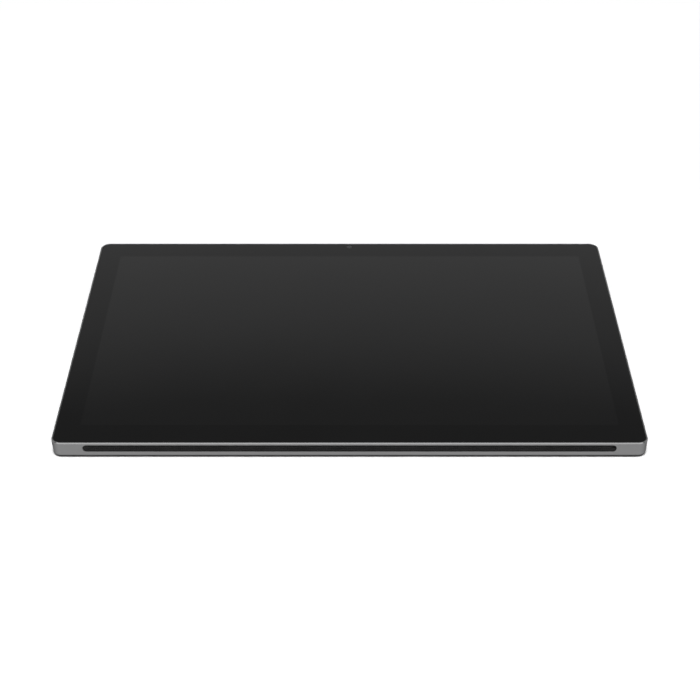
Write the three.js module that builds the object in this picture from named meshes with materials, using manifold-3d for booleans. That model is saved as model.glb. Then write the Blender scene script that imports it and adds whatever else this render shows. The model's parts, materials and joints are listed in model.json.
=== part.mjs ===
// A 12.3-inch slate tablet computer, lying on its back with the screen up.
// Millimetres. +X runs along the long side, +Y towards the camera edge, +Z out of the screen.
// The origin is the middle of the flat back face.
import * as THREE from "three";
import { mergeVertices } from "three/addons/utils/BufferGeometryUtils.js";
import Module from "manifold-3d";

const wasm = await Module();
wasm.setup();

// ---- Driving dimensions ----------------------------------------------------------------------

const LENGTH = 285; // along X
const WIDTH = 205; // along Y
const THICKNESS = 8.3;
const CORNER_RADIUS = 5.2;
const BACK_FILLET = 1.6; // round between the back face and the edges
const RIM_CHAMFER = 0.45; // bright bevel around the glass
const LEAN = 0.06; // how far the edges come in towards the back, per mm of height

const FLOOR = 1.0; // the housing's back wall
const WALL = 2.2; // the housing's side walls
const LEDGE_INSET = 4.2; // the ledge that carries the glass, measured from the outer edge
const LEDGE_BOTTOM = 6.25;
const LEDGE_TOP = 7.25;
const RIM_INSET = 0.75; // the rim around the glass

const ACTIVE_LENGTH = 260; // lit area of a 12.3-inch 3:2 panel
const ACTIVE_WIDTH = 173.3;
const SHEET_GAP = 0.03; // between the sheets of the display, where the real ones touch
const FIT_GAP = 0.1; // around a piece that drops into a recess

const GLASS_THICKNESS = 0.75;
const GLASS_BOTTOM = THICKNESS - GLASS_THICKNESS;

const SLOT_LENGTH = 254.5; // the dark slot in the near edge
const SLOT_HEIGHT = 3.7;
const SLOT_DEPTH = 0.7;
const SLOT_Z = 5.2;
const STRIP_RECESS = 0.12; // how far the grille strip lies below the wall's face

const BUTTON_Z = 4.3; // height of the buttons' middle line
const BUTTON_HEIGHT = 2.6;
const BUTTON_PROUD = 0.35;
const POWER = { x: -118, length: 13.6, travel: 0.25 };
const VOLUME = { x: -84, length: 26 };
const VOLUME_SWITCH_X = 9; // each volume switch, from the rocker's middle
const FLANGE_THICKNESS = 0.6;

const PORT_Z = 4.2;
const PORT_Y = { front: 46, rear: 62 };
const PORT = { width: 8.94, height: 3.2, depth: 7.3, wall: 0.3 };
const TONGUE = { length: 5.6, width: 6.7, height: 0.7 };

const TRAY_Y = 60;
const TRAY_Z = 4.05;
const TRAY_HEAD = { width: 16.4, height: 2.4, depth: 1.6 };
const TRAY_PLATE = { length: 24, width: 14, height: 0.9 };
const CARD = { length: 15.2, width: 11.2, depth: 0.7, x: 14 }; // the pocket that holds the card

const CAMERA_Y = WIDTH / 2 - 4.2; // front camera, in the bezel
const REAR_CAMERA_Y = 86;

const BOARD_BOTTOM = 2.3;
const BOARD_THICKNESS = 0.8;
const BOARD_TOP = BOARD_BOTTOM + BOARD_THICKNESS;
const PORT_BOARD_BOTTOM = 1.7;
const PORT_BOARD_TOP = 2.4;

const CELL = { length: 82, width: 100, height: 3.4, pitch: 84, y: -30 };

const ARC_STEPS = 8; // a quarter circle gets twice this many straight pieces
const FILLET_STEPS = 5; // straight pieces in the round of the back edge

// ---- Materials -------------------------------------------------------------------------------

const finish = (color, roughness, metalness) =>
  new THREE.MeshStandardMaterial({ color, roughness, metalness });

const anodised = finish(0x86868a, 0.42, 0.9);
const blackGlass = finish(0x0b0b0c, 0.08, 0);
const clearPlastic = finish(0xdfe4e8, 0.15, 0);
const whiteFilm = finish(0xe9e9e6, 0.4, 0);
const panelDark = finish(0x15161a, 0.2, 0);
const steel = finish(0xb4b6ba, 0.3, 1);
const copper = finish(0xb87148, 0.35, 1);
const gold = finish(0xc9a24f, 0.3, 1);
const blackPlastic = finish(0x1a1a1b, 0.55, 0);
const blackFoam = finish(0x202021, 0.9, 0);
const boardGreen = finish(0x16402c, 0.5, 0.05);
const pouchFoil = finish(0x3a3c40, 0.35, 0.6);
const amberFilm = finish(0xa9702a, 0.4, 0);
const lensGlass = finish(0x10131c, 0.04, 0);

// ---- Shapes ----------------------------------------------------------------------------------

// A rectangle with rounded corners, centred on the origin.
function roundedRectangle(length, width, radius) {
  const x = length / 2 - radius;
  const y = width / 2 - radius;
  const shape = new THREE.Shape();
  shape.absarc(x, y, radius, 0, Math.PI / 2);
  shape.absarc(-x, y, radius, Math.PI / 2, Math.PI);
  shape.absarc(-x, -y, radius, Math.PI, Math.PI * 1.5);
  shape.absarc(x, -y, radius, Math.PI * 1.5, Math.PI * 2);
  return shape;
}

// The tablet's own outline, drawn in by inset all round.
const outline = (inset) =>
  roundedRectangle(
    LENGTH - 2 * inset,
    WIDTH - 2 * inset,
    Math.max(CORNER_RADIUS - inset, 1),
  );

const extruded = (shape, depth) =>
  new THREE.ExtrudeGeometry(shape, {
    depth,
    bevelEnabled: false,
    curveSegments: ARC_STEPS,
  });

// An extrusion of the same overall size as its shape, whose two ends are rounded or chamfered by size.
const bevelled = (shape, depth, size, steps) =>
  new THREE.ExtrudeGeometry(shape, {
    depth: depth - 2 * size,
    bevelThickness: size,
    bevelSize: size,
    bevelOffset: -size,
    bevelSegments: steps,
    curveSegments: ARC_STEPS,
  }).translate(0, 0, size);

// How far the leaning edge lies inside the widest outline, at a height.
const edgeInset = (z) => LEAN * Math.max(THICKNESS - RIM_CHAMFER - z, 0);

// A closed solid with the tablet's outline, drawn in by its own inset at each level, from the lowest up.
function lofted(levels) {
  const rings = levels.map(([inset, z]) =>
    outline(inset).getPoints(ARC_STEPS).map((p) => [p.x, p.y, z]),
  );
  const sides = rings[0].length;
  const points = [...rings.flat(), [0, 0, levels[0][1]], [0, 0, levels.at(-1)[1]]];
  const bottomMiddle = points.length - 2;
  const topMiddle = points.length - 1;
  const topRing = (rings.length - 1) * sides;
  const triangles = [];
  for (let i = 0; i < sides; i++) {
    const next = (i + 1) % sides;
    triangles.push(bottomMiddle, next, i);
    triangles.push(topMiddle, topRing + i, topRing + next);
    for (let base = 0; base < topRing; base += sides) {
      triangles.push(base + i, base + next, base + sides + next);
      triangles.push(base + i, base + sides + next, base + sides + i);
    }
  }
  return new THREE.BufferGeometry()
    .setAttribute("position", new THREE.Float32BufferAttribute(points.flat(), 3))
    .setIndex(triangles);
}

// Shears a piece drawn upright, so that it lies along the leaning near edge or left edge.
const alongNearEdge = (geometry) =>
  geometry.applyMatrix4(new THREE.Matrix4().makeShear(0, 0, 0, 0, 0, -LEAN));
const alongLeftEdge = (geometry) =>
  geometry.applyMatrix4(new THREE.Matrix4().makeShear(0, 0, 0, 0, -LEAN, 0));

// A block standing on z = 0, centred in X and Y. With a radius, its upright edges are round.
const block = (length, width, height, radius = 0) =>
  radius
    ? extruded(roundedRectangle(length, width, radius), height)
    : new THREE.BoxGeometry(length, width, height).translate(0, 0, height / 2);

// A bar with fully round ends, length by height in the X-Z plane, running from y = 0 to y = -depth.
const pillInward = (length, height, depth) =>
  extruded(
    roundedRectangle(length, height, height / 2 - 0.001),
    depth,
  ).rotateX(Math.PI / 2);

// The same bar, width along Y by height along Z, running from x = 0 to x = depth.
const pillAlongX = (width, height, depth) =>
  extruded(
    roundedRectangle(height, width, height / 2 - 0.001),
    depth,
  ).rotateY(Math.PI / 2);

// A cylinder standing on z = 0.
const disc = (radius, height, steps = 24) =>
  new THREE.CylinderGeometry(radius, radius, height, steps)
    .rotateX(Math.PI / 2)
    .translate(0, 0, height / 2);

// A thin ribbon that follows points [along, z], bent in the Y-Z plane and width wide in X.
function ribbon(points, width, thickness) {
  const path = points.map(([a, z]) => new THREE.Vector2(a, z));
  const normalOf = (from, to) => {
    const d = to.clone().sub(from).normalize();
    return new THREE.Vector2(-d.y, d.x);
  };
  const offsets = path.map((_, i) => {
    const before = normalOf(path[Math.max(i - 1, 0)], path[Math.max(i, 1)]);
    const last = path.length - 1;
    const after = normalOf(path[Math.min(i, last - 1)], path[Math.min(i + 1, last)]);
    const sum = before.clone().add(after);
    return sum.multiplyScalar(thickness / 2 / (1 + before.dot(after)));
  });
  const upper = path.map((p, i) => p.clone().add(offsets[i]));
  const lower = path.map((p, i) => p.clone().sub(offsets[i]));
  const shape = new THREE.Shape([...upper, ...lower.reverse()]);
  // The shape's own x and y become the part's Y and Z.
  return extruded(shape, width)
    .rotateX(Math.PI / 2)
    .rotateZ(Math.PI / 2)
    .translate(-width / 2, 0, 0);
}

// ---- Joining and cutting ---------------------------------------------------------------------

function solid(geometry) {
  const bare = geometry.index ? geometry.toNonIndexed() : geometry.clone();
  bare.deleteAttribute("normal");
  bare.deleteAttribute("uv");
  const merged = mergeVertices(bare, 1e-4);
  return new wasm.Manifold(
    new wasm.Mesh({
      numProp: 3,
      vertProperties: merged.attributes.position.array,
      triVerts: new Uint32Array(merged.index.array),
    }),
  );
}

function geometryOf(manifold) {
  const mesh = manifold.getMesh();
  return new THREE.BufferGeometry()
    .setAttribute("position", new THREE.BufferAttribute(mesh.vertProperties, 3))
    .setIndex(new THREE.BufferAttribute(mesh.triVerts, 1));
}

const cut = (from, ...tools) =>
  geometryOf(tools.reduce((left, tool) => left.subtract(solid(tool)), solid(from)));

const joined = (...pieces) =>
  geometryOf(pieces.slice(1).reduce((sum, piece) => sum.add(solid(piece)), solid(pieces[0])));

// ---- The tablet ------------------------------------------------------------------------------

const tablet = new THREE.Group();

function add(name, geometry, material, x = 0, y = 0, z = 0) {
  const mesh = new THREE.Mesh(geometry, material);
  mesh.name = name;
  mesh.position.set(x, y, z);
  tablet.add(mesh);
  return mesh;
}

// The four edges where the tablet is widest, just under the rim.
const BACK_EDGE_Y = WIDTH / 2; // with the buttons
const NEAR_EDGE_Y = -WIDTH / 2; // with the grille slot
const RIGHT_EDGE_X = LENGTH / 2;
const LEFT_EDGE_X = -LENGTH / 2;

// The faces of the leaning edges, at the heights of what is set into them.
const BUTTON_FACE_Y = BACK_EDGE_Y - edgeInset(BUTTON_Z);
const SLOT_FACE_Y = NEAR_EDGE_Y + edgeInset(SLOT_Z);
const TRAY_FACE_X = LEFT_EDGE_X + edgeInset(TRAY_Z);

// Screws that hold the boards down, and the bosses under them.
const BOARD_SCREWS = [
  [-108, 66],
  [-55, 34],
  [-55, 86],
  [20, 34],
  [90, 34],
  [90, 86],
];
const PORT_BOARD_SCREWS = [
  [130.5, 38],
  [130.5, 70],
];
const BOARD_SCREW = { head: 1.6, headHeight: 0.6, shank: 0.6, length: 1.8 };
const PORT_SCREW = { head: 1.3, headHeight: 0.45, shank: 0.5, length: 1.2 };
const SCREW_CLEARANCE = 0.2;
const SPEAKER = { x: 95, length: 56, width: 15, height: 3.6 };
const SPEAKER_PORT = { length: 40, height: 1.6, z: 4.55 };
const MICROPHONE_X = 30;

// Rear housing: one aluminium tray, with every opening that its edges need.
function housing() {
  const spare = 3; // cutters run this far past what they cut
  const levels = [];
  for (let step = 0; step <= FILLET_STEPS; step++) {
    const angle = (step / FILLET_STEPS) * (Math.PI / 2);
    const z = BACK_FILLET * (1 - Math.cos(angle));
    levels.push([edgeInset(BACK_FILLET) + BACK_FILLET * (1 - Math.sin(angle)), z]);
  }
  levels.push([0, THICKNESS - RIM_CHAMFER], [RIM_CHAMFER, THICKNESS]);
  let body = solid(lofted(levels));

  const take = (geometry) => {
    body = body.subtract(solid(geometry));
  };
  take(extruded(outline(WALL), LEDGE_BOTTOM - FLOOR).translate(0, 0, FLOOR));
  take(extruded(outline(LEDGE_INSET), THICKNESS).translate(0, 0, FLOOR + 1));
  take(extruded(outline(RIM_INSET), THICKNESS).translate(0, 0, LEDGE_TOP));

  // Bosses for the board screws, each with a blind hole.
  const boss = (positions, top, radius, hole) => {
    for (const [x, y] of positions) {
      body = body.add(solid(disc(radius, top - FLOOR + 0.2, 16).translate(x, y, FLOOR - 0.2)));
      take(disc(hole, top, 12).translate(x, y, FLOOR + 0.1));
    }
  };
  boss(BOARD_SCREWS, BOARD_BOTTOM - 0.05, 2.2, BOARD_SCREW.shank + SCREW_CLEARANCE);
  boss(PORT_BOARD_SCREWS, PORT_BOARD_BOTTOM - 0.05, 1.9, PORT_SCREW.shank + SCREW_CLEARANCE);

  // Near edge: the long slot, and behind it one port for each speaker.
  take(
    alongNearEdge(pillInward(SLOT_LENGTH, SLOT_HEIGHT, SLOT_DEPTH + spare))
      .translate(0, SLOT_FACE_Y + SLOT_DEPTH, SLOT_Z),
  );
  for (const side of [-1, 1])
    take(
      pillInward(SPEAKER_PORT.length, SPEAKER_PORT.height, WALL + 2)
        .translate(side * SPEAKER.x, NEAR_EDGE_Y + WALL + 1, SPEAKER_PORT.z),
    );

  // Far edge: two button openings, two microphone holes and room for the front camera.
  const buttonClearance = 0.4;
  for (const button of [POWER, VOLUME])
    take(
      pillInward(button.length + buttonClearance, BUTTON_HEIGHT + buttonClearance, WALL + 2)
        .translate(button.x, BACK_EDGE_Y + 1, BUTTON_Z),
    );
  for (const side of [-1, 1])
    take(
      disc(0.45, WALL + 2, 12)
        .rotateX(Math.PI / 2)
        .translate(side * MICROPHONE_X, BACK_EDGE_Y + 1, BUTTON_Z),
    );
  take(block(6.4, 4.4, LEDGE_TOP - 5 + 0.1).translate(0, CAMERA_Y + 0.7, 5));

  // Right edge: two charging ports. Left edge: the card tray.
  for (const y of Object.values(PORT_Y))
    take(
      pillAlongX(PORT.width + 0.3, PORT.height + 0.3, WALL + 2)
        .translate(RIGHT_EDGE_X - WALL - 1, y, PORT_Z),
    );
  take(
    pillAlongX(TRAY_HEAD.width + 0.4, TRAY_HEAD.height + 0.4, WALL + 2)
      .translate(LEFT_EDGE_X - 1, TRAY_Y, TRAY_Z),
  );

  // Back face: the rear camera's hole.
  take(disc(5.15, FLOOR + 2, 40).translate(0, REAR_CAMERA_Y, -1));
  return geometryOf(body);
}
add("rear_housing", housing(), anodised);

// ---- Display, from the glass down ------------------------------------------------------------

const GLASS_CHAMFER = 0.12;
add(
  "cover_glass",
  bevelled(outline(RIM_INSET + FIT_GAP), GLASS_THICKNESS, GLASS_CHAMFER, 1),
  blackGlass,
  0,
  0,
  GLASS_BOTTOM,
);

const ADHESIVE_THICKNESS = GLASS_BOTTOM - LEDGE_TOP - 2 * SHEET_GAP;
add(
  "glass_adhesive",
  cut(
    extruded(outline(RIM_INSET + 0.35), ADHESIVE_THICKNESS),
    extruded(outline(LEDGE_INSET - 0.2), 3).translate(0, 0, -1),
    block(7, 6, 3).translate(0, CAMERA_Y - 0.4, -1),
  ),
  blackFoam,
  0,
  0,
  LEDGE_TOP + SHEET_GAP,
);

// Each sheet lies just under the one before it.
let sheetTop = GLASS_BOTTOM;
function sheet(name, length, width, thickness, material) {
  const bottom = sheetTop - SHEET_GAP - thickness;
  add(name, block(length, width, thickness, 1), material, 0, 0, bottom);
  sheetTop = bottom;
}
sheet("optical_adhesive", ACTIVE_LENGTH + 3, ACTIVE_WIDTH + 3, 0.14, clearPlastic);
sheet("lcd_panel", ACTIVE_LENGTH + 4, ACTIVE_WIDTH + 4.7, 1.0, panelDark);
const TRAY_RIM_TOP = sheetTop - SHEET_GAP;
sheet("optical_films", ACTIVE_LENGTH + 2, ACTIVE_WIDTH + 1.5, 0.3, whiteFilm);

// The light guide leaves room for the LED strip along the near side of the backlight tray.
const LED = { length: 256, width: 1.6, height: 0.5 };
const GUIDE_WIDTH = ACTIVE_WIDTH - 0.6;
const guideBottom = sheetTop - SHEET_GAP - LED.height;
const GUIDE_Y = 1.1; // moved away from the near side by half the room that the LEDs take
add(
  "light_guide_plate",
  block(ACTIVE_LENGTH + 2, GUIDE_WIDTH, LED.height),
  clearPlastic,
  0,
  GUIDE_Y,
  guideBottom,
);
const ledY = GUIDE_Y - GUIDE_WIDTH / 2 - LED.width / 2 - FIT_GAP;
add("led_strip", block(LED.length, LED.width, LED.height), gold, 0, ledY, guideBottom);
sheetTop = guideBottom;
sheet("reflector_sheet", ACTIVE_LENGTH + 2, ACTIVE_WIDTH + 1.5, 0.15, whiteFilm);

const BACKLIGHT = { length: ACTIVE_LENGTH + 6, width: ACTIVE_WIDTH + 6.7, sheet: 0.2, wall: 0.5 };
const backlightBottom = sheetTop - SHEET_GAP - BACKLIGHT.sheet;
add(
  "backlight_tray",
  cut(
    block(BACKLIGHT.length, BACKLIGHT.width, TRAY_RIM_TOP - backlightBottom, 1.5),
    block(BACKLIGHT.length - 2 * BACKLIGHT.wall, BACKLIGHT.width - 2 * BACKLIGHT.wall, 3, 1)
      .translate(0, 0, BACKLIGHT.sheet),
  ),
  steel,
  0,
  0,
  backlightBottom,
);

// ---- Front camera, light sensor, microphones and aerials, under the top bezel -----------------

add(
  "front_camera_module",
  joined(block(5, 5, 1.7), disc(1.7, 1.95, 20)),
  blackPlastic,
  0,
  CAMERA_Y,
  5.5,
);
add("ambient_light_sensor", block(2.4, 2, 0.8), lensGlass, 12, CAMERA_Y - 3, 6.55);
for (const [side, sign] of [["left", -1], ["right", 1]]) {
  add(`microphone_${side}`, block(3.6, 1, 2.7), gold, sign * MICROPHONE_X, 99.4, BUTTON_Z - 1.35);
  add(`antenna_${side}`, block(40, 4, 0.8, 0.6), amberFilm, sign * 62, 94.6, 6.35);
}

// ---- Speakers and the grille strip in the near edge -------------------------------------------

const STRIP_THICKNESS = SLOT_DEPTH - STRIP_RECESS - 0.05;
add(
  "grille_strip",
  alongNearEdge(
    pillInward(SLOT_LENGTH - 2 * FIT_GAP, SLOT_HEIGHT - 2 * FIT_GAP, STRIP_THICKNESS),
  ),
  blackPlastic,
  0,
  SLOT_FACE_Y + STRIP_RECESS + STRIP_THICKNESS,
  SLOT_Z,
);
const speakerY = NEAR_EDGE_Y + WALL + 0.3 + SPEAKER.width / 2;
for (const [side, sign] of [["left", -1], ["right", 1]])
  add(
    `speaker_${side}`,
    block(SPEAKER.length, SPEAKER.width, SPEAKER.height, 2),
    blackPlastic,
    sign * SPEAKER.x,
    speakerY,
    FLOOR + 0.2,
  );

// ---- Battery ----------------------------------------------------------------------------------

for (const [place, step] of [["left", -1], ["center", 0], ["right", 1]])
  add(
    `battery_cell_${place}`,
    bevelled(roundedRectangle(CELL.length, CELL.width, 3), CELL.height, 0.6, 2),
    pouchFoil,
    step * CELL.pitch,
    CELL.y,
    FLOOR + 0.1,
  );
const batteryBoardY = CELL.y + CELL.width / 2 + 4;
add("battery_board", block(200, 6, 1.2), boardGreen, 0, batteryBoardY, FLOOR + 0.2);

// ---- Main board and what is on it -------------------------------------------------------------

function mainBoard() {
  const edge = [
    [-136, 46],
    [-66, 46],
    [-60, 30],
    [96, 30],
    [96, 90],
    [8, 90],
    [8, 79],
    [-8, 79],
    [-8, 90],
    [-60, 90],
    [-66, 74],
    [-136, 74],
  ];
  const shape = new THREE.Shape(edge.map(([x, y]) => new THREE.Vector2(x, y)));
  for (const [x, y] of BOARD_SCREWS) {
    const hole = new THREE.Path();
    hole.absarc(x, y, BOARD_SCREW.shank + SCREW_CLEARANCE, 0, Math.PI * 2, true);
    shape.holes.push(hole);
  }
  return new THREE.ExtrudeGeometry(shape, {
    depth: BOARD_THICKNESS,
    bevelEnabled: false,
    curveSegments: 12,
  });
}
add("main_board", mainBoard(), boardGreen, 0, 0, BOARD_BOTTOM);

const ON_BOARD = BOARD_TOP + 0.05;
const boardPieces = [
  ["processor_shield", 44, 38, 1.4, steel, 10, 58],
  ["memory_shield", 24, 30, 1.4, steel, 50, 62],
  ["power_shield", 30, 24, 1.4, steel, -36, 50],
  ["wireless_module", 22, 16, 1.3, steel, -36, 75],
  ["storage_module", 22, 30, 1.2, blackPlastic, 78, 60],
];
for (const [name, length, width, height, material, x, y] of boardPieces)
  add(name, block(length, width, height, 0.8), material, x, y, ON_BOARD);
add("heat_spreader", block(100, 42, 0.3, 2), copper, 26, 59.6, ON_BOARD + 1.45);

// Screw: a flat round head on a plain shank, turned about its own axis.
function screw({ head, headHeight, shank, length }) {
  const profile = [
    [0, -length],
    [shank, -length],
    [shank, 0],
    [head, 0],
    [head, headHeight * 0.6],
    [head * 0.8, headHeight],
    [0, headHeight],
  ].map(([r, z]) => new THREE.Vector2(r, z));
  return new THREE.LatheGeometry(profile, 16).rotateX(Math.PI / 2);
}
BOARD_SCREWS.forEach(([x, y], i) =>
  add(`board_screw_${i + 1}`, screw(BOARD_SCREW), steel, x, y, BOARD_TOP + 0.05),
);

// ---- Charging ports on the right edge ----------------------------------------------------------

const portMouthX = RIGHT_EDGE_X - edgeInset(PORT_Z - PORT.height / 2) - 0.1;
const portBackX = portMouthX - PORT.depth;
for (const [place, y] of Object.entries(PORT_Y)) {
  add(
    `usb_c_shell_${place}`,
    cut(
      pillAlongX(PORT.width, PORT.height, PORT.depth),
      pillAlongX(PORT.width - 2 * PORT.wall, PORT.height - 2 * PORT.wall, PORT.depth)
        .translate(PORT.wall, 0, 0),
    ),
    steel,
    portBackX,
    y,
    PORT_Z,
  );
  add(
    `usb_c_tongue_${place}`,
    new THREE.BoxGeometry(TONGUE.length, TONGUE.width, TONGUE.height),
    blackPlastic,
    portBackX + PORT.wall + 0.05 + TONGUE.length / 2,
    y,
    PORT_Z,
  );
}
const portBoardHeight = PORT_BOARD_TOP - PORT_BOARD_BOTTOM;
const portBoardX = 133;
const portBoardY = 54;
add(
  "port_board",
  cut(
    block(12, 40, portBoardHeight),
    ...PORT_BOARD_SCREWS.map(([x, y]) =>
      disc(PORT_SCREW.shank + SCREW_CLEARANCE, 4, 12).translate(x - portBoardX, y - portBoardY, -1),
    ),
  ),
  boardGreen,
  portBoardX,
  portBoardY,
  PORT_BOARD_BOTTOM,
);
PORT_BOARD_SCREWS.forEach(([x, y], i) =>
  add(`port_board_screw_${i + 1}`, screw(PORT_SCREW), steel, x, y, PORT_BOARD_TOP + 0.03),
);

// ---- Card tray and its socket on the left edge -------------------------------------------------

function cardTray() {
  const plateOverlap = 0.3; // the plate runs this far into the head
  const head = alongLeftEdge(pillAlongX(TRAY_HEAD.width, TRAY_HEAD.height, TRAY_HEAD.depth));
  const { length, width, height } = TRAY_PLATE;
  const plate = new THREE.BoxGeometry(length + plateOverlap, width, height)
    .translate(TRAY_HEAD.depth + (length - plateOverlap) / 2, 0, 0);
  const pocket = block(CARD.length, CARD.width, 2)
    .translate(TRAY_HEAD.depth + CARD.x, 0, height / 2 - CARD.depth);
  const ejectHole = new THREE.CylinderGeometry(0.5, 0.5, 1.2, 12)
    .rotateZ(Math.PI / 2)
    .translate(0.4, 5.6, 0);
  return cut(joined(head, plate), pocket, ejectHole);
}
add("card_tray", cardTray(), anodised, TRAY_FACE_X, TRAY_Y, TRAY_Z);
const SOCKET = { length: 22, width: 16.4, height: 1.75, wall: 0.6 };
add(
  "card_socket",
  cut(
    new THREE.BoxGeometry(SOCKET.length, SOCKET.width, SOCKET.height),
    new THREE.BoxGeometry(SOCKET.length, TRAY_PLATE.width + 0.4, TRAY_PLATE.height + 0.3)
      .translate(-SOCKET.wall, 0, 0),
  ),
  steel,
  TRAY_FACE_X + TRAY_HEAD.depth + TRAY_PLATE.length - SOCKET.length / 2 + SOCKET.wall + 0.3,
  TRAY_Y,
  TRAY_Z,
);

// ---- Power button and volume rocker on the far edge ---------------------------------------------

const innerWallY = BACK_EDGE_Y - WALL;

// A pill cap that stands a little proud of the wall, with a flange inside that keeps it in.
function button(length, flangeY) {
  const outerY = BUTTON_FACE_Y + BUTTON_PROUD;
  const cap = pillInward(length, BUTTON_HEIGHT, outerY - flangeY + 0.1)
    .translate(0, outerY - innerWallY, 0);
  const flange = block(length + 2.8, FLANGE_THICKNESS, 3.6)
    .translate(0, flangeY - FLANGE_THICKNESS / 2 - innerWallY, -1.8);
  return joined(cap, flange);
}
const powerFlangeY = innerWallY - 0.1;
const volumeFlangeY = innerWallY - 0.3; // the far end of the rocker swings out by 0.23 mm
add("power_button", button(POWER.length, powerFlangeY), anodised, POWER.x, innerWallY, BUTTON_Z);
add("volume_rocker", button(VOLUME.length, volumeFlangeY), anodised, VOLUME.x, innerWallY, BUTTON_Z);

// Three switches on one bracket. The bracket's post is what the rocker rocks on.
const bracketFrontY = 97.7;
const switchBackY = bracketFrontY + 0.05;
function switchBlock(name, x, frontY) {
  const depth = frontY - switchBackY;
  add(name, block(3.5, depth, 3), blackPlastic, x, switchBackY + depth / 2, BUTTON_Z - 1.5);
}
switchBlock("power_switch", POWER.x, powerFlangeY - FLANGE_THICKNESS - POWER.travel - 0.05);
const volumeBackY = volumeFlangeY - FLANGE_THICKNESS;
switchBlock("volume_up_switch", VOLUME.x - VOLUME_SWITCH_X, volumeBackY - 0.18);
switchBlock("volume_down_switch", VOLUME.x + VOLUME_SWITCH_X, volumeBackY - 0.18);
const postLength = volumeBackY - 0.05 - bracketFrontY;
add(
  "button_bracket",
  joined(
    block(62, 0.4, 4.6).translate(-99, -0.2, -2.9),
    block(1.6, postLength + 0.1, 3).translate(VOLUME.x, (postLength - 0.1) / 2, -1.5),
  ),
  steel,
  0,
  bracketFrontY,
  BUTTON_Z,
);

// ---- Rear camera ---------------------------------------------------------------------------------

const ringProfile = [
  [4.1, 0],
  [5.0, 0.15],
  [5.0, 0.85],
  [4.1, 0.85],
  [4.1, 0],
].map(([r, z]) => new THREE.Vector2(r, z));
add(
  "rear_camera_ring",
  new THREE.LatheGeometry(ringProfile, 40).rotateX(Math.PI / 2),
  anodised,
  0,
  REAR_CAMERA_Y,
  0.1,
);
add("rear_camera_window", disc(4.0, 0.6, 40), lensGlass, 0, REAR_CAMERA_Y, 0.3);
add(
  "rear_camera_module",
  joined(block(9.4, 9.4, 3.3).translate(0, 0, 0.3), disc(3.2, 0.4, 24)),
  blackPlastic,
  0,
  REAR_CAMERA_Y,
  1.05,
);

// ---- Flexible circuits ------------------------------------------------------------------------

const FLEX = 0.15;
const flexOnBoard = ON_BOARD + FLEX / 2;

// From the panel's edge, down behind the backlight tray, to the main board.
const panelEdgeY = (ACTIVE_WIDTH + 4.7) / 2;
const panelZ = TRAY_RIM_TOP + 0.5;
add(
  "display_flex",
  ribbon(
    [
      [panelEdgeY + 0.1, panelZ],
      [panelEdgeY + 2.4, panelZ],
      [panelEdgeY + 2.9, panelZ - 0.5],
      [panelEdgeY + 2.9, 5.2],
      [panelEdgeY + 2.4, 4.75],
      [85, 4.75],
      [82.6, flexOnBoard],
      [79, flexOnBoard],
    ],
    24,
    FLEX,
  ),
  amberFilm,
  60,
);
add(
  "battery_flex",
  ribbon(
    [
      [batteryBoardY - 2, FLOOR + 1.55],
      [batteryBoardY + 2, FLOOR + 1.55],
      [batteryBoardY + 4.4, flexOnBoard + 0.1],
      [36, flexOnBoard + 0.1],
    ],
    16,
    FLEX,
  ),
  amberFilm,
  -20,
);

// From each speaker along the side wall: the left one to the main board, the right one to the port board.
const speakerEndY = speakerY + SPEAKER.width / 2 + 0.3;
add(
  "speaker_ribbon_left",
  ribbon(
    [
      [speakerEndY, 1.2],
      [40, 1.2],
      [44, flexOnBoard],
      [50.5, flexOnBoard],
    ],
    4,
    FLEX,
  ),
  amberFilm,
  -132,
);
add(
  "speaker_ribbon_right",
  ribbon(
    [
      [speakerEndY, 1.2],
      [29, 1.2],
      [32, PORT_BOARD_TOP + 0.2],
      [38, PORT_BOARD_TOP + 0.2],
    ],
    3,
    FLEX,
  ),
  amberFilm,
  136,
);

// From the port board to the main board. Its points run along X, so it is turned a quarter turn.
const portFlex = add(
  "port_board_flex",
  ribbon(
    [
      [-132, PORT_BOARD_TOP + 0.2],
      [-122, PORT_BOARD_TOP + 0.2],
      [-100, flexOnBoard],
      [-91, flexOnBoard],
    ],
    8,
    FLEX,
  ),
  amberFilm,
  0,
  56,
);
portFlex.rotation.z = Math.PI / 2;

export default tablet;
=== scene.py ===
"""The looks of a 12.3-inch slate tablet computer, lying on its back with the display off.

Shapes are worked out in millimetres and written to their meshes in metres. Every size comes from the
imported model's own boxes or from the few named values below.
"""

import json
import math

import bmesh
import bpy
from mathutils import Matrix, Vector


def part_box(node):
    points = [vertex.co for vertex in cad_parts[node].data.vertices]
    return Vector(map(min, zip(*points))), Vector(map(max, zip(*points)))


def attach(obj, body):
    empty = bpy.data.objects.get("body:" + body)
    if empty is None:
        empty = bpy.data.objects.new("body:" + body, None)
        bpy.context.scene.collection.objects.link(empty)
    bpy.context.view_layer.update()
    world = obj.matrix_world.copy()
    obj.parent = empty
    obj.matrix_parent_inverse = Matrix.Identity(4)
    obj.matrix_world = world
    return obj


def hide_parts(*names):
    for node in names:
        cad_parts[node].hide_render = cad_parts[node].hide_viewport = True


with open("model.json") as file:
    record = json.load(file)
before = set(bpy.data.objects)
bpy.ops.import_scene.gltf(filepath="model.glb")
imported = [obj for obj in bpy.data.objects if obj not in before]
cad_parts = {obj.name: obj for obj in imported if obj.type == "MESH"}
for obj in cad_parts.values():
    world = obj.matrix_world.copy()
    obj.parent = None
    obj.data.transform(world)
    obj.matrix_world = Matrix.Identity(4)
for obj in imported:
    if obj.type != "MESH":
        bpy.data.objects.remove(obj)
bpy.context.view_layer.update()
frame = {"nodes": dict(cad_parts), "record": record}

MM = 0.001
nodes = frame["nodes"]
scene = bpy.context.scene


def box_mm(node):
    """A CAD node's lowest and highest corner, in millimetres."""
    low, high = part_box(node)
    return low / MM, high / MM


def middle(node):
    low, high = box_mm(node)
    return (low + high) / 2


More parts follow.
